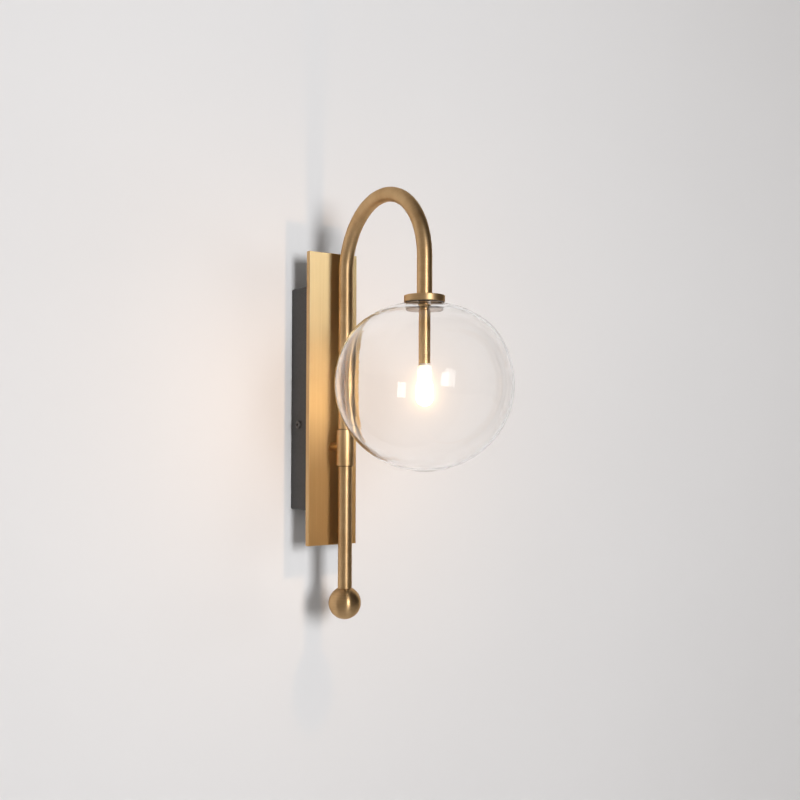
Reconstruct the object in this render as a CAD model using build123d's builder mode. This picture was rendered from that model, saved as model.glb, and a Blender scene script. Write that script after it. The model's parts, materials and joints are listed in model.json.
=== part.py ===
from build123d import *
from math import asin, cos, degrees, pi, radians, sin, sqrt
import os

os.makedirs("parts", exist_ok=True)

# ---------------------------------------------------------------------------
# Globe wall sconce.  Millimetres, +Z up.  The wall is the plane y = 0, the
# sconce stands out of it towards -Y.  The origin lies in the wall plane, at
# the middle height of the back plate, midway between the two wall slots.
# ---------------------------------------------------------------------------

# canopy: folded steel box between the wall and the back plate
CANOPY_W, CANOPY_H, CANOPY_D, CANOPY_T = 50.0, 212.0, 30.0, 1.2
# back plate: solid brass flat bar on the front of the canopy
PLATE_W, PLATE_H, PLATE_T = 52.0, 277.0, 6.0
PLATE_BACK = CANOPY_D
PLATE_FRONT = CANOPY_D + PLATE_T

# bent arm
ROD_Y = -58.5
TUBE_R, TUBE_WALL = 6.5, 1.0
BORE_R = TUBE_R - TUBE_WALL
HOOK_R, HOOK_Z = 63.0, 115.0
LAMP_Y = ROD_Y - 2 * HOOK_R
JOINT_Z = -58.0

# pivot collar and the standoff that carries it
COLLAR_R, COLLAR_BORE_R = 8.1, 7.1
COLLAR_TOP, COLLAR_BOT = -30.0, -63.5
STANDOFF_Z = -46.0
STANDOFF_R, SPIGOT_R, TIP_R, LEAD_BORE_R = 4.0, 3.0, 2.5, 1.7
RUN = 0.05
SWIVEL = 45.0

# finial
BALL_R, BALL_Z = 15.0, -190.0

# lamp end
CAP_R, CAP_TOP, CAP_SIDE_BOT, CAP_BOT, CAP_FOOT_R = 17.2, 81.5, 76.3, 76.0, 16.9
CUP_R, CUP_BOT, CUP_WALL = 15.75, 70.0, 1.1
STEM_R, STEM_NECK_R, STEM_THREAD_R = 4.9, 4.5, 4.0
STEM_BOT = 24.3
SOCKET_LIP = 1.7
PIN_R, PIN_X = 0.35, 2.0
BULB_TOP, BULB_STEP, BULB_BOT = 22.3, 10.4, -11.8
BULB_NECK_R, BULB_BODY_R = 5.7, 7.4

# globe
GLOBE_R, GLOBE_Z, GLOBE_DOWN, GLOBE_T = 75.0, 7.0, 72.5, 1.7
GLOBE_CROWN, GLOBE_POWER = 69.0, 2.2
MOUTH_R, RIM_Z = CUP_R + RUN, 75.1
RING_R = 0.4

# wall bracket
STRAP_W, STRAP_H, STRAP_T = 44.0, 178.0, 2.0
SLOT_Z, SLOT_W, SLOT_L = 60.0, 4.5, 9.0
TAB_Z, TAB_H, TAB_DEPTH = -25.0, 18.0, 22.0
SIDE_SCREW_Y = -14.5
CABLE_Z, CABLE_BORE_R = -6.0, 4.0

# fasteners and leads
PLATE_SCREW_X, PLATE_SCREW_Z = 15.0, 95.0
LEAD_R = 1.4
CORE_R = 1.1
CASE_W, CASE_D = 38.0, 19.0
CASE_BOT, CASE_TOP = 9.0, 87.0
EAR_SCREW_LOW, EAR_SCREW_HIGH = 5.2, 90.8
BLOCK_Z, POLE = -72.0, 9.0


def lamp_axis():
    return Axis((0, LAMP_Y, 0), (0, 0, 1))


def tube_check(label, solid, radius, length):
    ratio = solid.volume / (pi * radius**2 * length)
    print(f"{label}: length {length:.1f} mm, volume / (section x length) {ratio:.4f}")


# ===========================================================================
# WALL SIDE
# ===========================================================================

# black folded canopy, open towards the wall
with BuildPart() as canopy_box:
    with BuildSketch(Plane.XZ):
        Rectangle(CANOPY_W, CANOPY_H)
    extrude(amount=CANOPY_D)
    fillet(canopy_box.edges().filter_by(Axis.Y), 1.6)
    offset(
        amount=-CANOPY_T,
        openings=canopy_box.faces().sort_by(Axis.Y)[-1],
    )
    fillet(canopy_box.faces().sort_by(Axis.Y)[0].outer_wire().edges(), 0.5)
    # holes through the front: standoff spigot, plate screws, driver screws
    with BuildSketch(Plane.XZ.offset(CANOPY_D - 2.5)):
        with Locations((0, STANDOFF_Z)):
            Circle(SPIGOT_R + 0.1)
        with GridLocations(2 * PLATE_SCREW_X, 2 * PLATE_SCREW_Z, 2, 2):
            Circle(1.65)
        with Locations((0, EAR_SCREW_LOW), (0, EAR_SCREW_HIGH)):
            Circle(1.5)
    extrude(amount=4, mode=Mode.SUBTRACT)
    # one clearance hole in each side for the canopy screws
    with BuildSketch(Plane.YZ.offset(-CANOPY_W / 2 - 1)):
        with Locations((SIDE_SCREW_Y, TAB_Z)):
            Circle(2.15)
    extrude(amount=CANOPY_W + 2, mode=Mode.SUBTRACT)
canopy_box.part.label = "canopy_box"
export_step(canopy_box.part, "parts/canopy_box.step")

# brass back plate with four blind tapped holes behind
with BuildPart() as backplate:
    with BuildSketch(Plane.XZ.offset(PLATE_BACK)):
        Rectangle(PLATE_W, PLATE_H)
    extrude(amount=PLATE_T)
    chamfer(backplate.faces().sort_by(Axis.Y)[0].outer_wire().edges(), 0.35)
    chamfer(backplate.faces().sort_by(Axis.Y)[-1].outer_wire().edges(), 0.25)
    with BuildSketch(Plane.XZ.offset(PLATE_BACK)):
        with GridLocations(2 * PLATE_SCREW_X, 2 * PLATE_SCREW_Z, 2, 2):
            Circle(1.5)
    extrude(amount=4.5, mode=Mode.SUBTRACT)
    with BuildSketch(Plane.XZ.offset(PLATE_BACK - 1)):
        with Locations((0, STANDOFF_Z)):
            Circle(SPIGOT_R + 0.1)
    extrude(amount=PLATE_T + 2, mode=Mode.SUBTRACT)
backplate.part.label = "backplate"
export_step(backplate.part, "parts/backplate.step")

# M3 button screws, driven from inside the canopy into the plate
with BuildPart() as plate_screws:
    inner_face = CANOPY_D - CANOPY_T
    with BuildSketch(Plane.XZ.offset(inner_face)):
        with GridLocations(2 * PLATE_SCREW_X, 2 * PLATE_SCREW_Z, 2, 2):
            Circle(2.85)
    extrude(amount=-1.8)
    fillet(plate_screws.edges().group_by(Axis.Y)[-1], 0.8)
    with BuildSketch(Plane.XZ.offset(inner_face)):
        with GridLocations(2 * PLATE_SCREW_X, 2 * PLATE_SCREW_Z, 2, 2):
            Circle(1.47)
    extrude(amount=CANOPY_T + 4.2)
    with BuildSketch(Plane.XZ.offset(inner_face - 1.8)):
        with GridLocations(2 * PLATE_SCREW_X, 2 * PLATE_SCREW_Z, 2, 2):
            RegularPolygon(radius=1.15, side_count=6)
    extrude(amount=1.2, mode=Mode.SUBTRACT)
plate_screws.part.label = "plate_screws"
export_step(plate_screws.part, "parts/plate_screws.step")

# steel strap against the wall, with a bent-up tab on each side
with BuildPart() as wall_bracket:
    with BuildSketch(Plane.XZ):
        RectangleRounded(STRAP_W, STRAP_H, 3)
        with Locations((0, TAB_Z)):
            Rectangle(47.2, TAB_H)
        with Locations((0, SLOT_Z), (0, -SLOT_Z)):
            SlotOverall(SLOT_L, SLOT_W, rotation=90, mode=Mode.SUBTRACT)
        with Locations((0, CABLE_Z)):
            Circle(7.0, mode=Mode.SUBTRACT)
        with Locations((13, -43)):
            Circle(2.0, mode=Mode.SUBTRACT)
        with Locations((-POLE / 2, BLOCK_Z), (POLE / 2, BLOCK_Z)):
            Circle(1.25, mode=Mode.SUBTRACT)
    extrude(amount=STRAP_T)
    for side in (-1, 1):
        with BuildSketch(Plane.XZ):
            with Locations((side * (23.6 - STRAP_T / 2), TAB_Z)):
                Rectangle(STRAP_T, TAB_H)
        extrude(amount=TAB_DEPTH)
    fillet(
        wall_bracket.edges()
        .filter_by(Axis.X)
        .filter_by(lambda e: abs(e.center().Y + TAB_DEPTH) < 0.01),
        3.0,
    )
    with BuildSketch(Plane.YZ.offset(-30)):
        with Locations((SIDE_SCREW_Y, TAB_Z)):
            Circle(2.0)
    extrude(amount=60, mode=Mode.SUBTRACT)
wall_bracket.part.label = "wall_bracket"
export_step(wall_bracket.part, "parts/wall_bracket.step")

# M4 low-head screws, one on each side of the canopy
with BuildPart() as canopy_screws:
    for side in (-1, 1):
        with BuildSketch(Plane.YZ.offset(side * CANOPY_W / 2)):
            with Locations((SIDE_SCREW_Y, TAB_Z)):
                Circle(3.8)
        extrude(amount=side * 1.9)
    fillet(
        canopy_screws.edges().filter_by(lambda e: abs(e.center().X) > CANOPY_W / 2 + 1.5),
        1.1,
    )
    for side in (-1, 1):
        with BuildSketch(Plane.YZ.offset(side * CANOPY_W / 2)):
            with Locations((SIDE_SCREW_Y, TAB_Z)):
                Circle(1.97)
        extrude(amount=-side * 4.8)
        with BuildSketch(Plane.YZ.offset(side * (CANOPY_W / 2 + 1.9))):
            with Locations((SIDE_SCREW_Y, TAB_Z)):
                RegularPolygon(radius=1.45, side_count=6)
        extrude(amount=-side * 1.3, mode=Mode.SUBTRACT)
canopy_screws.part.label = "canopy_screws"
export_step(canopy_screws.part, "parts/canopy_screws.step")

# rubber bush in the cable hole of the strap
with BuildPart() as cable_grommet:
    with BuildSketch(Plane.XZ):
        with Locations((0, CABLE_Z)):
            Circle(6.95)
    extrude(amount=STRAP_T)
    with BuildSketch(Plane.XZ.offset(STRAP_T)):
        with Locations((0, CABLE_Z)):
            Circle(9.0)
    extrude(amount=2.0)
    fillet(cable_grommet.edges().group_by(Axis.Y)[0], 0.8)
    with BuildSketch(Plane.XZ):
        with Locations((0, CABLE_Z)):
            Circle(CABLE_BORE_R)
    extrude(amount=6, mode=Mode.SUBTRACT)
cable_grommet.part.label = "cable_grommet"
export_step(cable_grommet.part, "parts/cable_grommet.step")

# 12 V driver, hung on the inside of the canopy front by its two ears
with BuildPart() as led_driver:
    with BuildSketch(Plane.XZ.offset(inner_face - CASE_D)):
        with Locations((0, (CASE_BOT + CASE_TOP) / 2)):
            Rectangle(CASE_W, CASE_TOP - CASE_BOT)
    extrude(amount=CASE_D)
    fillet(led_driver.edges().filter_by(Axis.Y), 3.0)
    chamfer(led_driver.faces().sort_by(Axis.Y)[-1].outer_wire().edges(), 1.0)
    with BuildSketch(Plane.XZ.offset(inner_face - 2.5)):
        with Locations((0, EAR_SCREW_LOW), (0, EAR_SCREW_HIGH)):
            Circle(4.2)
        with Locations((0, EAR_SCREW_LOW + 4), (0, EAR_SCREW_HIGH - 4)):
            Rectangle(8.4, 8)
    extrude(amount=2.5)
    with BuildSketch(Plane.XZ.offset(inner_face - 4)):
        with Locations((0, EAR_SCREW_LOW), (0, EAR_SCREW_HIGH)):
            Circle(1.7)
    extrude(amount=5, mode=Mode.SUBTRACT)
    # raised rim of the potted lid
    with BuildSketch(Plane.XZ.offset(inner_face - CASE_D)):
        with Locations((0, (CASE_BOT + CASE_TOP) / 2)):
            RectangleRounded(CASE_W - 6, CASE_TOP - CASE_BOT - 6, 2)
            RectangleRounded(CASE_W - 8, CASE_TOP - CASE_BOT - 8, 1.5, mode=Mode.SUBTRACT)
    extrude(amount=0.6, mode=Mode.SUBTRACT)
led_driver.part.label = "led_driver"
export_step(led_driver.part, "parts/led_driver.step")

with BuildPart() as driver_screws:
    ear_face = inner_face - 2.5
    with BuildSketch(Plane.XZ.offset(ear_face)):
        with Locations((0, EAR_SCREW_LOW), (0, EAR_SCREW_HIGH)):
            Circle(2.75)
    extrude(amount=-1.8)
    fillet(driver_screws.edges().group_by(Axis.Y)[-1], 0.8)
    with BuildSketch(Plane.XZ.offset(ear_face)):
        with Locations((0, EAR_SCREW_LOW), (0, EAR_SCREW_HIGH)):
            Circle(1.47)
    extrude(amount=2.5 + CANOPY_T - 0.05)
    with BuildSketch(Plane.XZ.offset(ear_face - 1.8)):
        with Locations((0, EAR_SCREW_LOW), (0, EAR_SCREW_HIGH)):
            Rectangle(3.2, 0.7)
            Rectangle(0.7, 3.2)
    extrude(amount=0.9, mode=Mode.SUBTRACT)
driver_screws.part.label = "driver_screws"
export_step(driver_screws.part, "parts/driver_screws.step")

# three-pole connector on the strap
with BuildPart() as terminal_block:
    with BuildSketch(Plane.XZ.offset(STRAP_T)):
        with Locations((0, BLOCK_Z)):
            RectangleRounded(27.5, 17.0, 1.5)
    extrude(amount=6.5)
    for pole in (-1, 0, 1):
        with BuildSketch(Plane.XZ.offset(STRAP_T + 6.5)):
            with Locations((pole * POLE, BLOCK_Z)):
                RectangleRounded(7.2, 17.0, 1.0)
        extrude(amount=7.5)
    # wire ways along Z, one per pole
    with BuildSketch(Plane.XY.offset(BLOCK_Z - 10)):
        with Locations((-POLE, -9.2), (0, -9.2), (POLE, -9.2)):
            Circle(1.7)
    extrude(amount=20, mode=Mode.SUBTRACT)
    # screw ways from the front
    with BuildSketch(Plane.XZ.offset(STRAP_T + 14.0)):
        for pole in (-1, 0, 1):
            with Locations((pole * POLE, BLOCK_Z - 4.6), (pole * POLE, BLOCK_Z + 4.6)):
                Circle(2.0)
    extrude(amount=-6.8, mode=Mode.SUBTRACT)
    # fixing holes between the poles
    with BuildSketch(Plane.XZ.offset(STRAP_T)):
        with Locations((-POLE / 2, BLOCK_Z), (POLE / 2, BLOCK_Z)):
            Circle(1.3)
    extrude(amount=6.5, mode=Mode.SUBTRACT)
terminal_block.part.label = "terminal_block"
export_step(terminal_block.part, "parts/terminal_block.step")

with BuildPart() as terminal_screws:
    for pole in (-1, 0, 1):
        with BuildSketch(Plane.XZ.offset(STRAP_T + 12.4)):
            with Locations((pole * POLE, BLOCK_Z - 4.6), (pole * POLE, BLOCK_Z + 4.6)):
                Circle(1.85)
        extrude(amount=-3.4)
        with BuildSketch(Plane.XZ.offset(STRAP_T + 12.4)):
            with Locations((pole * POLE, BLOCK_Z - 4.6), (pole * POLE, BLOCK_Z + 4.6)):
                Rectangle(3.8, 0.6)
        extrude(amount=-0.9, mode=Mode.SUBTRACT)
terminal_screws.part.label = "terminal_screws"
export_step(terminal_screws.part, "parts/terminal_screws.step")

with BuildPart() as block_screws:
    with BuildSketch(Plane.XZ):
        with Locations((-POLE / 2, BLOCK_Z), (POLE / 2, BLOCK_Z)):
            Circle(1.22)
    extrude(amount=STRAP_T + 6.5)
    with BuildSketch(Plane.XZ.offset(STRAP_T + 6.5)):
        with Locations((-POLE / 2, BLOCK_Z), (POLE / 2, BLOCK_Z)):
            Rectangle(1.6, 4.2)
    extrude(amount=1.2)
block_screws.part.label = "block_screws"
export_step(block_screws.part, "parts/block_screws.step")

# earth point on the strap: lug, toothed washer, screw
with BuildPart() as earth_lug:
    with BuildSketch(Plane.XZ.offset(STRAP_T)):
        with Locations((13, -43)):
            Circle(3.8)
        with Locations((13, -48.2)):
            Rectangle(3.4, 6)
        with Locations((13, -43)):
            Circle(2.1, mode=Mode.SUBTRACT)
    extrude(amount=0.8)
    with BuildSketch(Plane.XY.offset(-56.2)):
        with Locations((13, -STRAP_T - 1.9)):
            Circle(1.9)
            Circle(CORE_R + 0.02, mode=Mode.SUBTRACT)
    extrude(amount=5.6)
earth_lug.part.label = "earth_lug"
export_step(earth_lug.part, "parts/earth_lug.step")

with BuildPart() as earth_washer:
    with BuildSketch(Plane.XZ.offset(STRAP_T + 0.8)):
        with Locations((13, -43)):
            Circle(3.9)
            with PolarLocations(3.9, 10):
                Rectangle(0.9, 1.0)
            Circle(2.1, mode=Mode.SUBTRACT)
    extrude(amount=0.6)
earth_washer.part.label = "earth_washer"
export_step(earth_washer.part, "parts/earth_washer.step")

with BuildPart() as earth_screw:
    with BuildSketch(Plane.XZ.offset(STRAP_T + 1.4)):
        with Locations((13, -43)):
            Circle(3.6)
    extrude(amount=2.2)
    fillet(earth_screw.edges().group_by(Axis.Y)[0], 0.7)
    with BuildSketch(Plane.XZ.offset(STRAP_T + 1.4)):
        with Locations((13, -43)):
            Circle(1.97)
    extrude(amount=-(STRAP_T + 1.3))
    with BuildSketch(Plane.XZ.offset(STRAP_T + 3.6)):
        with Locations((13, -43)):
            Rectangle(4.4, 0.9)
            Rectangle(0.9, 4.4)
    extrude(amount=-1.1, mode=Mode.SUBTRACT)
earth_screw.part.label = "earth_screw"
export_step(earth_screw.part, "parts/earth_screw.step")

# earth lead, from the lug's barrel to the connector
EARTH_PTS = [
    (13, -3.9, -50.9),
    (13, -3.9, -57.6),
    (POLE, -9.2, -62.4),
    (POLE, -9.2, -68.0),
]
with BuildPart() as earth_lead:
    with BuildLine():
        route = FilletPolyline(*EARTH_PTS, radius=[2.6, 2.6])
    with BuildSketch(Plane(origin=EARTH_PTS[0], z_dir=(0, 0, -1))):
        Circle(CORE_R)
    sweep(path=route)
earth_lead.part.label = "earth_lead"
export_step(earth_lead.part, "parts/earth_lead.step")

tube_check("earth_lead", earth_lead.part, CORE_R, route.length)

# mains leads, from the connector up to the driver's lower end
LIVE_PTS = [
    (-POLE, -9.2, -67.4),
    (-POLE, -9.2, -56.0),
    (-13.0, -11.5, -38.0),
    (-13.5, -17.0, -16.0),
    (-10.0, -19.0, 0.5),
    (-10.0, -19.0, CASE_BOT),
]
with BuildPart() as live_lead:
    with BuildLine():
        route = FilletPolyline(*LIVE_PTS, radius=[18, 30, 24, 12])
    with BuildSketch(Plane(origin=LIVE_PTS[0], z_dir=(0, 0, 1))):
        Circle(CORE_R)
    sweep(path=route)
live_lead.part.label = "live_lead"
export_step(live_lead.part, "parts/live_lead.step")

tube_check("live_lead", live_lead.part, CORE_R, route.length)

NEUTRAL_PTS = [
    (0, -9.2, -67.4),
    (0, -9.2, -58.5),
    (-5.5, -8.2, -48.0),
    (-7.5, -12.5, -22.0),
    (-5.0, -19.0, -1.0),
    (-5.0, -19.0, CASE_BOT),
]
with BuildPart() as neutral_lead:
    with BuildLine():
        route = FilletPolyline(*NEUTRAL_PTS, radius=[12, 18, 30, 12])
    with BuildSketch(Plane(origin=NEUTRAL_PTS[0], z_dir=(0, 0, 1))):
        Circle(CORE_R)
    sweep(path=route)
neutral_lead.part.label = "neutral_lead"
export_step(neutral_lead.part, "parts/neutral_lead.step")

tube_check("neutral_lead", neutral_lead.part, CORE_R, route.length)

# hollow standoff: spigot through plate and canopy, body, tip inside the arm
with BuildPart() as standoff:
    tip_end = -ROD_Y - 5.0
    body_end = -ROD_Y - COLLAR_BORE_R - 0.05
    with BuildSketch(Plane.XZ.offset(21.8)):
        with Locations((0, STANDOFF_Z)):
            Circle(SPIGOT_R)
    extrude(amount=PLATE_FRONT - 21.8)
    with BuildSketch(Plane.XZ.offset(PLATE_FRONT)):
        with Locations((0, STANDOFF_Z)):
            Circle(STANDOFF_R)
    extrude(amount=body_end - PLATE_FRONT)
    with BuildSketch(Plane.XZ.offset(body_end)):
        with Locations((0, STANDOFF_Z)):
            Circle(TIP_R)
    extrude(amount=tip_end - body_end)
    with BuildSketch(Plane.XZ.offset(20)):
        with Locations((0, STANDOFF_Z)):
            Circle(LEAD_BORE_R)
    extrude(amount=40, mode=Mode.SUBTRACT)
    chamfer(standoff.edges().group_by(Axis.Y)[-1], 0.3)
standoff.part.label = "standoff"
export_step(standoff.part, "parts/standoff.step")

with BuildPart() as standoff_washer:
    with BuildSketch(Plane.XZ.offset(inner_face)):
        with Locations((0, STANDOFF_Z)):
            Circle(6.2)
            Circle(SPIGOT_R + 0.15, mode=Mode.SUBTRACT)
    extrude(amount=-1.2)
standoff_washer.part.label = "standoff_washer"
export_step(standoff_washer.part, "parts/standoff_washer.step")

with BuildPart() as standoff_nut:
    with BuildSketch(Plane.XZ.offset(inner_face - 1.2)):
        with Locations((0, STANDOFF_Z)):
            RegularPolygon(radius=5.0, side_count=6, major_radius=False)
            Circle(SPIGOT_R + 0.03, mode=Mode.SUBTRACT)
    extrude(amount=-4.8)
    chamfer(standoff_nut.edges().group_by(Axis.Y)[-1].filter_by(GeomType.LINE), 0.4)
standoff_nut.part.label = "standoff_nut"
export_step(standoff_nut.part, "parts/standoff_nut.step")

# collar that the arm turns in
with BuildPart() as pivot_collar:
    with BuildSketch(Plane.XY.offset(COLLAR_BOT)):
        with Locations((0, ROD_Y)):
            Circle(COLLAR_R)
    extrude(amount=COLLAR_TOP - COLLAR_BOT)
    chamfer(pivot_collar.edges().filter_by(GeomType.CIRCLE), 0.35)
    with BuildSketch(Plane.XY.offset(COLLAR_BOT)):
        with Locations((0, ROD_Y)):
            Circle(COLLAR_BORE_R)
    extrude(amount=COLLAR_TOP - COLLAR_BOT, mode=Mode.SUBTRACT)
    with BuildSketch(Plane.XZ.offset(-ROD_Y)):
        with Locations((0, STANDOFF_Z)):
            Circle(STANDOFF_R + 0.01)
    extrude(amount=-12, mode=Mode.SUBTRACT)
pivot_collar.part.label = "pivot_collar"
export_step(pivot_collar.part, "parts/pivot_collar.step")

# two dark liner bushes inside the collar
with BuildPart() as collar_bushes:
    for low in (COLLAR_BOT + 0.4, COLLAR_TOP - 0.4 - 8.0):
        with BuildSketch(Plane.XY.offset(low)):
            with Locations((0, ROD_Y)):
                Circle(COLLAR_BORE_R - 0.01)
                Circle(TUBE_R + RUN, mode=Mode.SUBTRACT)
        extrude(amount=8.0)
collar_bushes.part.label = "collar_bushes"
export_step(collar_bushes.part, "parts/collar_bushes.step")

# lamp lead, wall side: driver, down, through the standoff, up on the pivot axis
FIXED_PTS = [
    (8.0, -18.0, CASE_BOT),
    (8.0, -18.0, -3.0),
    (4.0, -14.5, -14.0),
    (0, -13.0, -27.0),
    (0, -13.0, STANDOFF_Z),
    (0, ROD_Y, STANDOFF_Z),
    (0, ROD_Y, -41.1),
]
with BuildPart() as lamp_lead_fixed:
    with BuildLine():
        route = FilletPolyline(*FIXED_PTS, radius=[14, 20, 14, 7.6, 4.5])
    with BuildSketch(Plane(origin=FIXED_PTS[0], z_dir=(0, 0, -1))):
        Circle(LEAD_R)
    sweep(path=route)
lamp_lead_fixed.part.label = "lamp_lead_fixed"
export_step(lamp_lead_fixed.part, "parts/lamp_lead_fixed.step")

tube_check("lamp_lead_fixed", lamp_lead_fixed.part, LEAD_R, route.length)

# ===========================================================================
# SWIVELLING ARM
# ===========================================================================

# bent tube; its foot turns inside the collar
with BuildPart() as hook_tube:
    with BuildLine() as hook_line:
        leg = Line((0, ROD_Y, JOINT_Z), (0, ROD_Y, HOOK_Z))
        bend = ThreePointArc(
            (0, ROD_Y, HOOK_Z),
            (0, ROD_Y - HOOK_R, HOOK_Z + HOOK_R),
            (0, LAMP_Y, HOOK_Z),
        )
        drop = Line((0, LAMP_Y, HOOK_Z), (0, LAMP_Y, CAP_TOP))
    with BuildSketch(Plane.XY.offset(JOINT_Z)):
        with Locations((0, ROD_Y)):
            Circle(TUBE_R)
            Circle(BORE_R, mode=Mode.SUBTRACT)
    sweep(path=hook_line.line)
    # window in the foot: the standoff's tip carries the arm and stops the swivel
    reach = radians(SWIVEL + degrees(asin(TIP_R / BORE_R)) + 2.0)
    with BuildSketch(Plane.XY.offset(STANDOFF_Z - TIP_R - 0.1)):
        with BuildLine():
            Polyline(
                (0, ROD_Y),
                (-12 * sin(reach), ROD_Y + 12 * cos(reach)),
                (-12 * sin(reach / 2), ROD_Y + 12 * cos(reach / 2)),
                (0, ROD_Y + 12),
                (12 * sin(reach / 2), ROD_Y + 12 * cos(reach / 2)),
                (12 * sin(reach), ROD_Y + 12 * cos(reach)),
                close=True,
            )
        make_face()
    extrude(amount=2 * TIP_R + 0.2, mode=Mode.SUBTRACT)
hook_tube.part.label = "hook_tube"
export_step(hook_tube.part, "parts/hook_tube.step")

# threaded sleeve that joins the hook to the straight rod, inside the collar
with BuildPart() as rod_coupler:
    with BuildSketch(Plane.XY.offset(-66.0)):
        with Locations((0, ROD_Y)):
            Circle(BORE_R - 0.02)
            Circle(2.5, mode=Mode.SUBTRACT)
    extrude(amount=15.5)
rod_coupler.part.label = "rod_coupler"
export_step(rod_coupler.part, "parts/rod_coupler.step")

ROD_BOT = BALL_Z + sqrt(BALL_R**2 - TUBE_R**2)
with BuildPart() as lower_rod:
    with BuildSketch(Plane.XY.offset(ROD_BOT)):
        with Locations((0, ROD_Y)):
            Circle(TUBE_R)
            Circle(BORE_R, mode=Mode.SUBTRACT)
    extrude(amount=JOINT_Z - ROD_BOT)
lower_rod.part.label = "lower_rod"
export_step(lower_rod.part, "parts/lower_rod.step")

# plug in the foot of the rod, with the stud that the ball screws onto
with BuildPart() as rod_end_plug:
    with BuildSketch(Plane.XY.offset(ROD_BOT)):
        with Locations((0, ROD_Y)):
            Circle(BORE_R - 0.02)
    extrude(amount=10.0)
    with BuildSketch(Plane.XY.offset(ROD_BOT)):
        with Locations((0, ROD_Y)):
            Circle(2.97)
    extrude(amount=-8.5)
rod_end_plug.part.label = "rod_end_plug"
export_step(rod_end_plug.part, "parts/rod_end_plug.step")

with BuildPart() as finial_ball:
    with Locations((0, ROD_Y, BALL_Z)):
        Sphere(BALL_R)
    with BuildSketch(Plane.XY.offset(ROD_BOT)):
        with Locations((0, ROD_Y)):
            Circle(12)
    extrude(amount=4, mode=Mode.SUBTRACT)
    with BuildSketch(Plane.XY.offset(ROD_BOT)):
        with Locations((0, ROD_Y)):
            Circle(3.0)
    extrude(amount=-9.0, mode=Mode.SUBTRACT)
finial_ball.part.label = "finial_ball"
export_step(finial_ball.part, "parts/finial_ball.step")

# threaded insert in the hanging end of the hook
with BuildPart() as hook_end_insert:
    with BuildSketch(Plane.XY.offset(CAP_TOP)):
        with Locations((0, LAMP_Y)):
            Circle(BORE_R - 0.02)
            Circle(STEM_THREAD_R + 0.02, mode=Mode.SUBTRACT)
    extrude(amount=13.0)
hook_end_insert.part.label = "hook_end_insert"
export_step(hook_end_insert.part, "parts/hook_end_insert.step")

# brass cap above the globe
with BuildPart() as globe_cap:
    with BuildSketch(Plane.XZ.offset(-LAMP_Y)):
        with BuildLine():
            Polyline(
                (STEM_THREAD_R + 0.1, CAP_TOP),
                (CAP_R - 0.35, CAP_TOP),
                (CAP_R, CAP_TOP - 0.35),
                (CAP_R, CAP_SIDE_BOT),
                (CAP_FOOT_R, CAP_BOT),
                (STEM_THREAD_R + 0.1, CAP_BOT),
                close=True,
            )
        make_face()
    revolve(axis=lamp_axis())
globe_cap.part.label = "globe_cap"
export_step(globe_cap.part, "parts/globe_cap.step")

# clear cup under the cap; the globe's mouth is pushed up over its skirt
with BuildPart() as grip_cup:
    with BuildSketch(Plane.XZ.offset(-LAMP_Y)):
        with BuildLine():
            Polyline(
                (STEM_THREAD_R + 0.1, CAP_BOT),
                (CUP_R - 0.15, CAP_BOT),
                (CUP_R, CAP_BOT - 0.15),
                (CUP_R, CUP_BOT + 0.3),
                (CUP_R - 0.3, CUP_BOT),
                (CUP_R - CUP_WALL, CUP_BOT),
                (CUP_R - CUP_WALL, CAP_BOT - 1.2),
                (STEM_THREAD_R + 0.1, CAP_BOT - 1.2),
                close=True,
            )
        make_face()
    revolve(axis=lamp_axis())
grip_cup.part.label = "grip_cup"
export_step(grip_cup.part, "parts/grip_cup.step")

# soft ring between the cap and the rim of the glass
with BuildPart() as rim_ring:
    with BuildSketch(Plane.XZ.offset(-LAMP_Y)):
        with Locations((16.4, RIM_Z + 0.05 + RING_R)):
            Circle(RING_R)
    revolve(axis=lamp_axis())
rim_ring.part.label = "rim_ring"
export_step(rim_ring.part, "parts/rim_ring.step")

# turned brass stem: thread in the insert, neck inside the cup, lamp tube below
with BuildPart() as lamp_stem:
    with BuildSketch(Plane.XZ.offset(-LAMP_Y)):
        with BuildLine():
            Polyline(
                (2.3, CAP_TOP + 11.0),
                (STEM_THREAD_R, CAP_TOP + 11.0),
                (STEM_THREAD_R, CAP_BOT - 1.2),
                (STEM_NECK_R, CAP_BOT - 1.2),
                (STEM_NECK_R, CUP_BOT - 0.2),
                (STEM_R - 0.25, CUP_BOT - 0.2),
                (STEM_R, CUP_BOT - 0.45),
                (STEM_R, STEM_BOT),
                (4.3, STEM_BOT),
                (4.3, STEM_BOT + 12.2),
                (2.3, STEM_BOT + 13.4),
                close=True,
            )
        make_face()
    revolve(axis=lamp_axis())
lamp_stem.part.label = "lamp_stem"
export_step(lamp_stem.part, "parts/lamp_stem.step")

# ceramic two-pin socket with its pale lip under the stem
with BuildPart() as lamp_socket:
    with BuildSketch(Plane.XY.offset(STEM_BOT)):
        with Locations((0, LAMP_Y)):
            Circle(4.28)
    extrude(amount=12.0)
    with BuildSketch(Plane.XY.offset(STEM_BOT - SOCKET_LIP)):
        with Locations((0, LAMP_Y)):
            Circle(STEM_R)
    extrude(amount=SOCKET_LIP)
    fillet(lamp_socket.edges().group_by(Axis.Z)[0], 0.5)
    with BuildSketch(Plane.XY.offset(STEM_BOT - SOCKET_LIP)):
        with Locations((-PIN_X, LAMP_Y), (PIN_X, LAMP_Y)):
            Circle(PIN_R + 0.09)
    extrude(amount=14, mode=Mode.SUBTRACT)
    with BuildSketch(Plane.XY.offset(STEM_BOT + 2.0)):
        with Locations((-PIN_X, LAMP_Y), (PIN_X, LAMP_Y)):
            Circle(1.1)
    extrude(amount=12, mode=Mode.SUBTRACT)
lamp_socket.part.label = "lamp_socket"
export_step(lamp_socket.part, "parts/lamp_socket.step")

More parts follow.
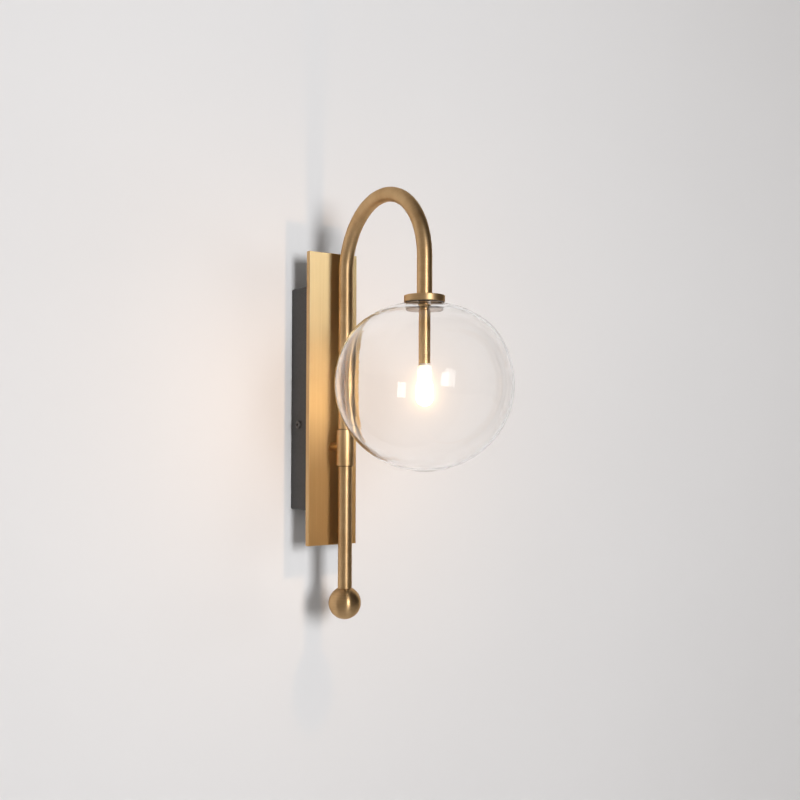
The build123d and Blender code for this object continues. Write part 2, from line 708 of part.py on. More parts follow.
with BuildPart() as socket_contacts:
    with BuildSketch(Plane.XY.offset(STEM_BOT + 2.2)):
        with Locations((-PIN_X, LAMP_Y), (PIN_X, LAMP_Y)):
            Circle(1.05)
            Circle(PIN_R + 0.07, mode=Mode.SUBTRACT)
    extrude(amount=8.5)
socket_contacts.part.label = "socket_contacts"
export_step(socket_contacts.part, "parts/socket_contacts.step")

# lamp lead, arm side: up the hook on its centre line, down into the stem
with BuildPart() as lamp_lead_arm:
    with BuildLine() as arm_line:
        Line((0, ROD_Y, -40.8), (0, ROD_Y, HOOK_Z))
        ThreePointArc(
            (0, ROD_Y, HOOK_Z),
            (0, ROD_Y - HOOK_R, HOOK_Z + HOOK_R),
            (0, LAMP_Y, HOOK_Z),
        )
        Line((0, LAMP_Y, HOOK_Z), (0, LAMP_Y, STEM_BOT + 12.2))
    with BuildSketch(Plane.XY.offset(-40.8)):
        with Locations((0, ROD_Y)):
            Circle(LEAD_R)
    sweep(path=arm_line.line)
lamp_lead_arm.part.label = "lamp_lead_arm"
export_step(lamp_lead_arm.part, "parts/lamp_lead_arm.step")

tube_check(
    "lamp_lead_arm",
    lamp_lead_arm.part,
    LEAD_R,
    sum(edge.length for edge in arm_line.edges()),
)

# ===========================================================================
# BULB
# ===========================================================================

with BuildPart() as bulb_base:
    with BuildSketch(Plane.XZ.offset(-LAMP_Y)):
        with BuildLine():
            Polyline(
                (0, BULB_TOP),
                (BULB_NECK_R - 0.8, BULB_TOP),
                (BULB_NECK_R, BULB_TOP - 0.8),
                (BULB_NECK_R, BULB_TOP - 3.2),
                (BULB_NECK_R - 0.4, BULB_TOP - 3.6),
                (BULB_NECK_R - 0.4, BULB_TOP - 4.4),
                (BULB_NECK_R, BULB_TOP - 4.8),
                (BULB_NECK_R, BULB_STEP),
                (0, BULB_STEP),
                close=True,
            )
        make_face()
    revolve(axis=lamp_axis())
    with BuildSketch(Plane.XY.offset(BULB_TOP)):
        with Locations((-PIN_X, LAMP_Y), (PIN_X, LAMP_Y)):
            Circle(PIN_R)
    extrude(amount=-3.0, mode=Mode.SUBTRACT)
bulb_base.part.label = "bulb_base"
export_step(bulb_base.part, "parts/bulb_base.step")

with BuildPart() as bulb_pins:
    with BuildSketch(Plane.XY.offset(BULB_TOP - 3.0)):
        with Locations((-PIN_X, LAMP_Y), (PIN_X, LAMP_Y)):
            Circle(PIN_R)
    extrude(amount=12.0)
    fillet(bulb_pins.edges().group_by(Axis.Z)[-1], 0.15)
bulb_pins.part.label = "bulb_pins"
export_step(bulb_pins.part, "parts/bulb_pins.step")

# frosted envelope, closed at the foot, a hollow shell
with BuildPart() as bulb_envelope:
    dome = BULB_BODY_R
    with BuildSketch(Plane.XZ.offset(-LAMP_Y)):
        with BuildLine():
            Line((BULB_NECK_R - 0.9, BULB_STEP), (BULB_NECK_R, BULB_STEP))
            Spline(
                (BULB_NECK_R, BULB_STEP),
                (BULB_BODY_R, BULB_STEP - 5.0),
                tangents=((0.55, -1), (0, -1)),
            )
            Line((BULB_BODY_R, BULB_STEP - 5.0), (BULB_BODY_R, BULB_BOT + dome))
            ThreePointArc(
                (BULB_BODY_R, BULB_BOT + dome),
                (BULB_BODY_R * sin(pi / 4), BULB_BOT + dome - dome * cos(pi / 4)),
                (0, BULB_BOT),
            )
            Line((0, BULB_BOT), (0, BULB_BOT + 0.8))
            ThreePointArc(
                (0, BULB_BOT + 0.8),
                (
                    (BULB_BODY_R - 0.8) * sin(pi / 4),
                    BULB_BOT + dome - (dome - 0.8) * cos(pi / 4),
                ),
                (BULB_BODY_R - 0.8, BULB_BOT + dome),
            )
            Line((BULB_BODY_R - 0.8, BULB_BOT + dome), (BULB_BODY_R - 0.8, BULB_STEP - 5.0))
            Spline(
                (BULB_BODY_R - 0.8, BULB_STEP - 5.0),
                (BULB_NECK_R - 0.9, BULB_STEP),
                tangents=((0, 1), (-0.55, 1)),
            )
        make_face()
    revolve(axis=lamp_axis())
bulb_envelope.part.label = "bulb_envelope"
export_step(bulb_envelope.part, "parts/bulb_envelope.step")

# light engine inside the envelope: a slim ceramic stick with its emitters
with BuildPart() as bulb_emitter:
    with BuildSketch(Plane.XY.offset(BULB_BOT + 5.0)):
        with Locations((0, LAMP_Y)):
            Rectangle(5.0, 1.2)
    extrude(amount=BULB_STEP - BULB_BOT - 5.0)
    for side in (-1, 1):
        with BuildSketch(Plane.XY.offset(BULB_BOT + 6.0)):
            with Locations((0, LAMP_Y + side * 0.9)):
                Rectangle(3.2, 0.6)
        extrude(amount=14.0)
bulb_emitter.part.label = "bulb_emitter"
export_step(bulb_emitter.part, "parts/bulb_emitter.step")

# ===========================================================================
# GLOBE
# ===========================================================================

# blown glass: round below, flattened towards the mouth, even wall, firmed rim
def glass_radius(up):
    """Outer radius at a height above the globe's widest line."""
    ball = sqrt(GLOBE_R**2 - up**2)
    flat = GLOBE_R * (1 - (up / GLOBE_CROWN) ** GLOBE_POWER) ** (1 / GLOBE_POWER)
    share = min(max((up - 22.0) / 36.0, 0.0), 1.0)
    share = share * share * (3 - 2 * share)
    return ball * (1 - share) + flat * share


def glass_height(radius):
    """Height above the widest line at which the outer radius is reached."""
    low, high = 0.0, GLOBE_CROWN - 0.001
    for _ in range(60):
        middle = (low + high) / 2
        if glass_radius(middle) > radius:
            low = middle
        else:
            high = middle
    return low


def inward(points, gap):
    out = []
    for i, (r, z) in enumerate(points):
        r0, z0 = points[max(i - 1, 0)]
        r1, z1 = points[min(i + 1, len(points) - 1)]
        length = sqrt((r1 - r0) ** 2 + (z1 - z0) ** 2)
        out.append((r + gap * (z1 - z0) / length, z - gap * (r1 - r0) / length))
    return out


CROWN_PTS = [
    (r, GLOBE_Z + glass_height(r)) for r in (17.1, 23.0, 29.0, 35.0, 41.0, 47.0, 53.0, 58.5)
] + [(glass_radius(up), GLOBE_Z + up) for up in (41.0, 33.5, 25.5, 17.0, 8.5)]
BELLY_PTS = [
    (
        GLOBE_R * cos(pi / 2 * i / 14),
        GLOBE_Z - GLOBE_DOWN * sin(pi / 2 * i / 14),
    )
    for i in range(15)
]
OUTER_PTS = CROWN_PTS + BELLY_PTS
INNER_PTS = inward(OUTER_PTS, GLOBE_T)
INNER_PTS = INNER_PTS[1:-1] + [(0.0, GLOBE_Z - GLOBE_DOWN + GLOBE_T)]
MOUTH_TOP = OUTER_PTS[0][1] + 0.3

with BuildPart() as glass_globe:
    with BuildSketch(Plane.XZ.offset(-LAMP_Y)):
        with BuildLine():
            Line((MOUTH_R, MOUTH_TOP - 0.2), (MOUTH_R + 0.2, MOUTH_TOP))
            Line((MOUTH_R + 0.2, MOUTH_TOP), (16.8, MOUTH_TOP))
            Line((16.8, MOUTH_TOP), OUTER_PTS[0])
            Spline(*OUTER_PTS, tangents=((1, -0.09), (-1, 0)))
            Line(OUTER_PTS[-1], INNER_PTS[-1])
            Spline(*INNER_PTS[::-1], tangents=((1, 0), (-1, 0.12)))
            Line(INNER_PTS[0], (MOUTH_R + 0.6, MOUTH_TOP - 2.8))
            Line((MOUTH_R + 0.6, MOUTH_TOP - 2.8), (MOUTH_R, MOUTH_TOP - 2.5))
            Line((MOUTH_R, MOUTH_TOP - 2.5), (MOUTH_R, MOUTH_TOP - 0.2))
        make_face()
    revolve(axis=lamp_axis())
print("globe mouth: rim at z", round(MOUTH_TOP, 2), "inner first", [round(v, 2) for v in INNER_PTS[0]])
glass_globe.part.label = "glass_globe"
export_step(glass_globe.part, "parts/glass_globe.step")
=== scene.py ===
import json
import math

import bpy
from mathutils import Matrix, Vector

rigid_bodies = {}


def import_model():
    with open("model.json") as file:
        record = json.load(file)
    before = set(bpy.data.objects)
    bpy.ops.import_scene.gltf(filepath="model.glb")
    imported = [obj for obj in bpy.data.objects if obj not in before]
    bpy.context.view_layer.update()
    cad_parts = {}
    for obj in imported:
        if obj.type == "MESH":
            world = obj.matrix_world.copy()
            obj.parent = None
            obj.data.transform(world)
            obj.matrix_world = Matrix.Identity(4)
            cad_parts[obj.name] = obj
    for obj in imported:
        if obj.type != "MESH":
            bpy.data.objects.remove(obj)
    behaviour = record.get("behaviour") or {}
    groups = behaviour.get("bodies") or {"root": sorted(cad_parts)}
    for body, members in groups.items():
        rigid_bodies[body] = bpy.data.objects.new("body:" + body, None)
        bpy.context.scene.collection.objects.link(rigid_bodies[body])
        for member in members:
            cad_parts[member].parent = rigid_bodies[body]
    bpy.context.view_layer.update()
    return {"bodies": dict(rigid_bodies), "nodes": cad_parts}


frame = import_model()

# The imported parts, by their names in model.glb.
nodes = frame["nodes"]
scene = bpy.context.scene

# ---------------------------------------------------------------- driving sizes, metres
HOOK_Y, HOOK_Z, HOOK_R = -0.1215, 0.115, 0.063     # centre and radius of the arch
LAMP = Vector((0.0, -0.1845, 0.007))               # middle of the globe
PLATE_X, PLATE_Z = 0.026, 0.1385                   # half width and half height of the plate
BOX_X, BOX_Z = 0.025, 0.106                        # half width and half height of the box
COLLAR_LOW, COLLAR_TOP = -0.0635, -0.0300          # ends of the collar round the rod


# ---------------------------------------------------------------- node helpers
class Tree:
    """One material's node tree, with short names for what the materials below use."""

    def __init__(self, name):
        self.mat = bpy.data.materials.new(name)
        self.mat.use_nodes = True
        self.nt = self.mat.node_tree
        self.nt.nodes.clear()
        self.out = self.nt.nodes.new("ShaderNodeOutputMaterial")
        self.bsdf = self.nt.nodes.new("ShaderNodeBsdfPrincipled")
        self.link(self.bsdf.outputs[0], self.out.inputs["Surface"])
        self.coord = self.nt.nodes.new("ShaderNodeTexCoord")
        self.at = self.coord.outputs["Object"]

    def link(self, a, b):
        self.nt.links.new(a, b)

    def set(self, **values):
        for name, value in values.items():
            self.bsdf.inputs[name.replace("_", " ")].default_value = value

    def put(self, name, socket):
        self.link(socket, self.bsdf.inputs[name])

    def math(self, op, a, b=0.0, c=0.0, clamp=False):
        n = self.nt.nodes.new("ShaderNodeMath")
        n.operation, n.use_clamp = op, clamp
        for i, v in enumerate((a, b, c)):
            if i >= len(n.inputs):
                break
            if isinstance(v, (int, float)):
                n.inputs[i].default_value = v
            else:
                self.link(v, n.inputs[i])
        return n.outputs[0]

    def split(self, vector):
        n = self.nt.nodes.new("ShaderNodeSeparateXYZ")
        self.link(vector, n.inputs[0])
        return n.outputs[0], n.outputs[1], n.outputs[2]

    def join(self, x, y, z):
        n = self.nt.nodes.new("ShaderNodeCombineXYZ")
        for i, v in enumerate((x, y, z)):
            if isinstance(v, (int, float)):
                n.inputs[i].default_value = v
            else:
                self.link(v, n.inputs[i])
        return n.outputs[0]

    def noise(self, per_metre, detail=2.0, rough=0.5, at=None, move=(0, 0, 0), distort=0.0):
        """Noise from 0 to 1 round 0.5, with the scale of each axis in features per metre."""
        if isinstance(per_metre, (int, float)):
            per_metre = (per_metre,) * 3
        m = self.nt.nodes.new("ShaderNodeMapping")
        m.inputs["Scale"].default_value = per_metre
        m.inputs["Location"].default_value = move
        self.link(at or self.at, m.inputs["Vector"])
        n = self.nt.nodes.new("ShaderNodeTexNoise")
        n.inputs["Scale"].default_value = 1.0
        n.inputs["Detail"].default_value = detail
        n.inputs["Roughness"].default_value = rough
        n.inputs["Distortion"].default_value = distort
        self.link(m.outputs[0], n.inputs["Vector"])
        return n.outputs["Fac"]

    def voronoi(self, per_metre, feature="F1", at=None, output="Distance"):
        m = self.nt.nodes.new("ShaderNodeMapping")
        m.inputs["Scale"].default_value = (per_metre,) * 3
        self.link(at or self.at, m.inputs["Vector"])
        n = self.nt.nodes.new("ShaderNodeTexVoronoi")
        n.feature = feature
        n.inputs["Scale"].default_value = 1.0
        self.link(m.outputs[0], n.inputs["Vector"])
        return n.outputs[output]

    def span(self, value, a, b, c, d, smooth=False):
        n = self.nt.nodes.new("ShaderNodeMapRange")
        n.clamp = True
        if smooth:
            n.interpolation_type = "SMOOTHSTEP"
        for i, v in enumerate((a, b, c, d)):
            n.inputs[1 + i].default_value = v
        self.link(value, n.inputs[0])
        return n.outputs[0]

    def colours(self, factor, a, b):
        """Colour a at factor 0 and b at factor 1. Either may be a socket."""
        n = self.nt.nodes.new("ShaderNodeMix")
        n.data_type = "RGBA"
        n.clamp_factor = True
        self.link(factor, n.inputs[0])
        for i, v in ((6, a), (7, b)):
            if isinstance(v, (tuple, list)):
                n.inputs[i].default_value = (*v[:3], 1.0)
            else:
                self.link(v, n.inputs[i])
        return n.outputs[2]

    def bump(self, height, distance, strength=1.0, normal=None):
        n = self.nt.nodes.new("ShaderNodeBump")
        n.inputs["Strength"].default_value = strength
        n.inputs["Distance"].default_value = distance
        self.link(height, n.inputs["Height"])
        if normal is not None:
            self.link(normal, n.inputs["Normal"])
        return n.outputs[0]

    def tube_place(self):
        """(x, distance from the tube's centre line in its plane, length along it) for anything on the hook, its two legs and what hangs on them. Also the direction of the centre line."""
        x, y, z = self.split(self.at)
        dy = self.math("SUBTRACT", y, HOOK_Y)
        dz = self.math("SUBTRACT", z, HOOK_Z)
        over = self.math("MAXIMUM", dz, 0.0)
        under = self.math("MINIMUM", dz, 0.0)
        turn = self.math("ARCTAN2", over, dy)
        side = self.math("SIGN", dy)
        along = self.math("ADD", self.math("MULTIPLY", turn, HOOK_R), self.math("MULTIPLY", side, under))
        far = self.math("SQRT", self.math("ADD", self.math("MULTIPLY", dy, dy), self.math("MULTIPLY", over, over)))
        off = self.math("SUBTRACT", far, HOOK_R)
        way = self.join(0.0, self.math("MULTIPLY", over, -1.0), dy)
        return self.join(x, off, along), way


BRASS_DEEP = (0.500, 0.310, 0.145)
BRASS = (0.595, 0.390, 0.195)
BRASS_PALE = (0.675, 0.465, 0.250)


def brass_round(name, rough=(0.39, 0.47), ring=2600.0, stretch=0.35):
    """Satin brass on tubes and turned parts: fine lines round the axis, faint handling marks along it, and a painted
    shade line on the rod at each end of the collar.
    """
    t = Tree(name)
    t.set(Metallic=1.0, Anisotropic=stretch, Specular_Tint=(0.66, 0.58, 0.50, 1.0))
    place, way = t.tube_place()
    lines = t.noise((60, 60, ring), 3.0, 0.65, at=place)
    wide = t.noise((25, 25, ring * 0.22), 2.0, 0.5, at=place, move=(3, 1, 7))
    rubbed = t.noise((900, 900, 28), 3.0, 0.6, at=place, move=(5, 2, 1))
    cloud = t.noise(38, 3.0, 0.55, move=(1, 4, 2))
    tone = t.math("ADD", t.math("MULTIPLY", lines, 0.35), t.math("MULTIPLY", cloud, 0.65))
    colour = t.colours(t.span(tone, 0.34, 0.66, 0, 1), BRASS_DEEP, BRASS_PALE)
    colour = t.colours(t.span(rubbed, 0.56, 0.74, 0, 0.35), colour, BRASS)
    x, y, z = t.split(t.at)
    # Painted shade: a dark line on the rod just below the collar's foot and just above its head, standing in for the
    # shade where the rod meets the collar.
    foot = t.math("ABSOLUTE", t.math("SUBTRACT", z, COLLAR_LOW - 0.0003))
    head = t.math("ABSOLUTE", t.math("SUBTRACT", z, COLLAR_TOP + 0.0003))
    painted_joint_shade = t.span(t.math("MINIMUM", foot, head), 0.00025, 0.0008, 0.75, 0, True)
    t.put("Base Color", t.colours(painted_joint_shade, colour, (0.10, 0.055, 0.022)))
    mix = t.math("ADD", t.math("MULTIPLY", lines, 0.45), t.math("ADD", t.math("MULTIPLY", wide, 0.25), t.math("MULTIPLY", cloud, 0.30)))
    t.put("Roughness", t.span(mix, 0.35, 0.65, *rough))
    height = t.math("ADD", lines, t.math("MULTIPLY", rubbed, 0.35))
    t.put("Normal", t.bump(height, 0.0000035, 0.8))
    t.put("Tangent", way)
    return t.mat


def brass_plate(name):
    """Satin brass plate with a straight grain up and down, worn a little brighter along its edges."""
    t = Tree(name)
    t.set(Metallic=1.0, Anisotropic=0.97)
    x, y, z = t.split(t.at)
    fine = t.noise((3600, 3600, 22), 3.0, 0.7)
    broad = t.noise((420, 420, 7), 2.0, 0.5, move=(2, 3, 1))
    cloud = t.noise((30, 30, 12), 3.0, 0.5, move=(7, 1, 3))
    tone = t.math("ADD", t.math("MULTIPLY", fine, 0.4), t.math("ADD", t.math("MULTIPLY", broad, 0.3), t.math("MULTIPLY", cloud, 0.3)))
    colour = t.colours(t.span(tone, 0.30, 0.70, 0, 1), (0.555, 0.320, 0.125), (0.665, 0.400, 0.165))
    edge_x = t.span(t.math("ABSOLUTE", x), PLATE_X - 0.0011, PLATE_X - 0.0002, 0, 1, True)
    edge_z = t.span(t.math("ABSOLUTE", z), PLATE_Z - 0.0011, PLATE_Z - 0.0002, 0, 1, True)
    edge = t.math("MAXIMUM", edge_x, edge_z)
    worn = t.math("MULTIPLY", edge, t.span(t.noise((70, 70, 40), 2.0, 0.5), 0.3, 0.7, 0.30, 0.62))
    t.put("Base Color", t.colours(worn, colour, (0.74, 0.52, 0.27)))
    rough = t.math("ADD", t.math("MULTIPLY", fine, 0.5), t.math("ADD", t.math("MULTIPLY", broad, 0.25), t.math("MULTIPLY", cloud, 0.25)))
    rough = t.span(rough, 0.35, 0.65, 0.34, 0.43)
    t.put("Roughness", t.math("SUBTRACT", rough, t.math("MULTIPLY", worn, 0.05)))
    height = t.math("ADD", fine, t.math("MULTIPLY", broad, 0.8))
    t.put("Normal", t.bump(height, 0.0000040, 0.8))
    across = t.join(1.0, t.math("MULTIPLY", y, 0.0), 0.0)
    t.put("Tangent", across)
    return t.mat


def powder_coat(name):
    """Fine black powder coat on folded steel, thinner and greyer on its folds."""
    t = Tree(name)
    t.set(Metallic=0.0, IOR=1.5)
    x, y, z = t.split(t.at)
    grain = t.noise(2900, 2.0, 0.6)
    peel = t.noise(620, 2.0, 0.5, move=(4, 2, 9))
    cloud = t.noise(32, 3.0, 0.5, move=(1, 7, 3))
    colour = t.colours(t.span(cloud, 0.3, 0.7, 0, 1), (0.022, 0.021, 0.021), (0.032, 0.030, 0.030))
    edge_x = t.span(t.math("ABSOLUTE", x), BOX_X - 0.0012, BOX_X - 0.0002, 0, 1, True)
    edge_y = t.span(y, -0.0288, -0.0298, 0, 1, True)
    edge_z = t.span(t.math("ABSOLUTE", z), BOX_Z - 0.0012, BOX_Z - 0.0002, 0, 1, True)
    fold = t.math("MAXIMUM", t.math("MULTIPLY", edge_x, edge_y), t.math("MAXIMUM", t.math("MULTIPLY", edge_x, edge_z), t.math("MULTIPLY", edge_y, edge_z)))
    fold = t.math("MULTIPLY", fold, t.span(t.noise(190, 3.0, 0.6), 0.4, 0.62, 0, 0.75))
    colour = t.colours(t.span(grain, 0.62, 0.8, 0, 0.35), colour, (0.085, 0.082, 0.083))
    t.put("Base Color", t.colours(fold, colour, (0.16, 0.155, 0.15)))
    t.put("Roughness", t.span(t.math("ADD", t.math("MULTIPLY", grain, 0.5), t.math("MULTIPLY", peel, 0.5)), 0.35, 0.65, 0.42, 0.56))
    t.put("Normal", t.bump(t.math("ADD", grain, t.math("MULTIPLY", peel, 2.2)), 0.000012, 0.8))
    return t.mat


def metal(name, low, high, rough, per_metre=260.0, spangle=0.0, lines=None):
    """Plain metal of small hardware. lines gives stretched scratches as features per metre on each axis."""
    t = Tree(name)
    t.set(Metallic=1.0)
    cloud = t.noise(per_metre, 3.0, 0.6)
    fine = t.noise(lines or (2200, 2200, 2200), 2.0, 0.6, move=(3, 5, 2))
    factor = cloud
    if spangle:
        cell = t.voronoi(spangle, output="Color")
        grey = t.split(cell)[0]
        factor = t.math("ADD", t.math("MULTIPLY", cloud, 0.6), t.math("MULTIPLY", grey, 0.4))
    t.put("Base Color", t.colours(t.span(factor, 0.3, 0.7, 0, 1), low, high))
    t.put("Roughness", t.span(t.math("ADD", t.math("MULTIPLY", factor, 0.5), t.math("MULTIPLY", fine, 0.5)), 0.35, 0.65, *rough))
    t.put("Normal", t.bump(fine, 0.000006, 0.7))
    return t.mat


def moulded(name, low, high, rough, grain=1800.0, depth=0.00001, scatter=0.0):
    """Moulded or extruded plastic and rubber with a fine grain and slight shade changes."""
    t = Tree(name)
    cloud = t.noise(120, 3.0, 0.55)
    fine = t.noise(grain, 2.0, 0.6, move=(2, 2, 5))
    t.put("Base Color", t.colours(t.span(cloud, 0.3, 0.7, 0, 1), low, high))
    t.put("Roughness", t.span(t.math("ADD", t.math("MULTIPLY", cloud, 0.4), t.math("MULTIPLY", fine, 0.6)), 0.35, 0.65, *rough))
    t.put("Normal", t.bump(fine, depth, 0.7))
    if scatter:
        t.set(Subsurface_Weight=scatter, Subsurface_Scale=0.002)
    return t.mat


def earth_colours(name):
    """Green insulation with a yellow stripe down each side."""
    t = Tree(name)
    nx, ny, nz = t.split(t.coord.outputs["Normal"])
    stripe = t.span(t.math("ABSOLUTE", nx), 0.66, 0.74, 0, 1)
    cloud = t.noise(300, 2.0, 0.5)
    green = t.colours(cloud, (0.035, 0.22, 0.035), (0.05, 0.30, 0.05))
    t.put("Base Color", t.colours(stripe, green, (0.75, 0.62, 0.03)))
    t.put("Roughness", t.span(t.noise(1500, 2.0, 0.5), 0.35, 0.65, 0.34, 0.46))
    t.put("Normal", t.bump(t.noise(900, 2.0, 0.5, move=(1, 1, 4)), 0.000008, 0.6))
    return t.mat


def clear_solid(name, tint, passed, ior, rough, wave=0.0, wave_size=60.0, smear=0.02, thin_rim=None):
    """Clear glass or plastic with its own thickness. Lamps shine through it, as they do through the real one. thin_rim gives the two heights between which its edge fades."""
    t = Tree(name)
    t.set(Base_Color=(*tint, 1.0), IOR=ior, Transmission_Weight=1.0, Metallic=0.0)
    if thin_rim:
        t.put("IOR", t.span(t.split(t.at)[2], *thin_rim, ior, 1.04, True))
    film = t.noise(wave_size * 0.8, 3.0, 0.55, move=(5, 3, 8))
    specks = t.noise(1400, 2.0, 0.5, move=(8, 1, 2))
    haze = t.math("ADD", t.math("MULTIPLY", film, 0.7), t.math("MULTIPLY", specks, 0.3))
    t.put("Roughness", t.span(haze, 0.42, 0.72, rough, rough + smear))
    if wave:
        t.put("Normal", t.bump(t.noise(wave_size, 2.0, 0.45, distort=0.4), wave, 1.0))
    path = t.nt.nodes.new("ShaderNodeLightPath")
    open_ = t.nt.nodes.new("ShaderNodeBsdfTransparent")
    open_.inputs[0].default_value = (*passed, 1.0)
    mix = t.nt.nodes.new("ShaderNodeMixShader")
    t.link(path.outputs["Is Shadow Ray"], mix.inputs[0])
    t.link(t.bsdf.outputs[0], mix.inputs[1])
    t.link(open_.outputs[0], mix.inputs[2])
    t.link(mix.outputs[0], t.out.inputs["Surface"])
    return t.mat


def lit_glass(name, strength, low, high):
    """Frosted envelope of the lit bulb: brightest in the middle of its body, warmer towards the ends."""
    t = Tree(name)
    t.set(Base_Color=(0.95, 0.93, 0.9, 1.0), IOR=1.45)
    x, y, z = t.split(t.at)
    up = t.math("ABSOLUTE", t.math("ADD", z, 0.001))
    heart = t.span(up, 0.003, 0.013, 1, 0, True)
    frost = t.noise(2400, 2.0, 0.6)
    t.put("Roughness", t.span(frost, 0.3, 0.7, 0.42, 0.62))
    t.put("Normal", t.bump(frost, 0.000008, 0.8))
    t.put("Emission Color", t.colours(heart, low, high))
    weight = t.nt.nodes.new("ShaderNodeLayerWeight")
    weight.inputs["Blend"].default_value = 0.5
    face = t.span(weight.outputs["Facing"], 0.35, 1.0, 1.0, 0.08, True)
    glow = t.math("MULTIPLY", t.span(heart, 0, 1, 0.35, 1.0), face)
    t.put("Emission Strength", t.math("MULTIPLY", glow, t.span(frost, 0.2, 0.8, strength * 0.94, strength)))
    t.mat.cycles.emission_sampling = "NONE"
    return t.mat


def lit_ceramic(name, strength):
    """Thin white porcelain neck of the bulb, lit from inside and strongest near the envelope."""
    t = Tree(name)
    x, y, z = t.split(t.at)
    fine = t.noise(2600, 2.0, 0.6)
    cloud = t.noise(500, 2.0, 0.5, move=(2, 2, 5))
    t.put("Base Color", t.colours(cloud, (0.84, 0.82, 0.78), (0.90, 0.89, 0.86)))
    t.put("Roughness", t.span(fine, 0.3, 0.7, 0.40, 0.55))
    t.put("Normal", t.bump(fine, 0.000010, 0.7))
    near = t.span(z, 0.0105, 0.0222, 1, 0, True)
    t.put("Emission Color", t.colours(near, (1.0, 0.80, 0.55), (1.0, 0.88, 0.70)))
    t.put("Emission Strength", t.math("MULTIPLY", t.span(near, 0, 1, 0.35, 1.0), t.span(fine, 0.2, 0.8, strength * 0.94, strength)))
    t.mat.cycles.emission_sampling = "NONE"
    return t.mat


mats = {
    "satin_brass": brass_round("brass_satin_round"),
    "satin_brass_plate": brass_plate("brass_satin_plate"),
    "raw_brass": metal("brass_as_turned", (0.56, 0.40, 0.17), (0.68, 0.50, 0.23), (0.26, 0.38), 180, lines=(300, 300, 3000)),
    "tinned_brass": metal("brass_tinned", (0.55, 0.54, 0.50), (0.68, 0.67, 0.63), (0.24, 0.40), 320),
    "black_powder_coat": powder_coat("powder_coat_black"),
    "black_screw": metal("screw_black_oxide", (0.10, 0.095, 0.092), (0.15, 0.14, 0.135), (0.50, 0.64), 700),
    "zinc_steel": metal("steel_zinc", (0.47, 0.48, 0.49), (0.63, 0.64, 0.66), (0.28, 0.44), 140, spangle=420),
    "pin_steel": metal("steel_pin", (0.58, 0.58, 0.58), (0.70, 0.70, 0.70), (0.16, 0.28), 700, lines=(300, 300, 3000)),
    "black_rubber": moulded("rubber_black", (0.020, 0.020, 0.020), (0.034, 0.033, 0.032), (0.58, 0.74)),
    "driver_case": moulded("plastic_white_case", (0.76, 0.76, 0.73), (0.84, 0.84, 0.82), (0.42, 0.54), 1500, 0.00002, 0.1),
    "terminal_plastic": moulded("nylon_natural", (0.78, 0.76, 0.70), (0.86, 0.85, 0.80), (0.36, 0.48), 1500, 0.00001, 0.2),
    "bush_plastic": moulded("bush_dark", (0.040, 0.040, 0.040), (0.060, 0.060, 0.060), (0.40, 0.52)),
    "live_insulation": moulded("insulation_brown", (0.17, 0.060, 0.028), (0.22, 0.085, 0.040), (0.32, 0.44)),
    "neutral_insulation": moulded("insulation_blue", (0.022, 0.095, 0.36), (0.032, 0.125, 0.44), (0.32, 0.44)),
    "earth_insulation": earth_colours("insulation_green_yellow"),
    "lamp_lead": moulded("insulation_pale", (0.70, 0.68, 0.63), (0.80, 0.78, 0.74), (0.34, 0.46)),
    "white_ceramic": moulded("ceramic_white", (0.80, 0.78, 0.73), (0.88, 0.87, 0.84), (0.48, 0.62), 2600, 0.000012, 0.15),
    "clear_plastic": clear_solid("polycarbonate_clear", (0.63, 0.557, 0.500), (0.80, 0.78, 0.76), 1.22, 0.10, 0.000006, 160, 0.05),
    "clear_glass": clear_solid("glass_blown_clear", (0.999, 0.997, 0.994), (0.955, 0.955, 0.955), 1.25, 0.0, 0.00002, 22, 0.010, (0.0650, 0.0715)),
    "frosted_glass": lit_glass("glass_frosted_lit", 8.0, (1.0, 0.70, 0.40), (1.0, 0.86, 0.62)),
    "emitter": lit_glass("emitter_lit", 14.0, (1.0, 0.74, 0.42), (1.0, 0.82, 0.52)),
}
for node in nodes.values():
    for slot in node.material_slots:
        slot.material = mats[slot.material.name]
nodes["bulb_base"].material_slots[0].material = lit_ceramic("porcelain_lit", 3.5)
nodes["finial_ball"].material_slots[0].material = brass_round("brass_satin_ball", (0.33, 0.41), 1500.0, 0.80)

# The lamp inside the envelope shines out of it.
for name in ("bulb_envelope", "bulb_emitter"):
    nodes[name].visible_shadow = False


# ---------------------------------------------------------------- stage
def flat(name, corners, faces, material):
    mesh = bpy.data.meshes.new(name)
    mesh.from_pydata(corners, [], faces)
    mesh.materials.append(material)
    obj = bpy.data.objects.new(name, mesh)
    scene.collection.objects.link(obj)
    return obj


def paint(name, low, high, see_through_back=False):
    t = Tree(name)
    cloud = t.noise(2.2, 2.0, 0.5)
    nap = t.noise(420, 3.0, 0.6, move=(2, 5, 1))
    t.put("Base Color", t.colours(t.span(cloud, 0.3, 0.7, 0, 1), low, high))
    t.put("Roughness", t.span(nap, 0.3, 0.7, 0.82, 0.92))
    t.put("Normal", t.bump(nap, 0.00004, 0.6))
    t.set(Specular_IOR_Level=0.2)
    if see_through_back:
        geo = t.nt.nodes.new("ShaderNodeNewGeometry")
        open_ = t.nt.nodes.new("ShaderNodeBsdfTransparent")
        mix = t.nt.nodes.new("ShaderNodeMixShader")
        t.link(geo.outputs["Backfacing"], mix.inputs[0])
        t.link(t.bsdf.outputs[0], mix.inputs[1])
        t.link(open_.outputs[0], mix.inputs[2])
        t.link(mix.outputs[0], t.out.inputs["Surface"])
    return t.mat


wall_paint = paint("wall_paint", (0.795, 0.790, 0.795), (0.815, 0.810, 0.815), True)
floor_paint = paint("floor_paint", (0.74, 0.73, 0.72), (0.77, 0.76, 0.75))

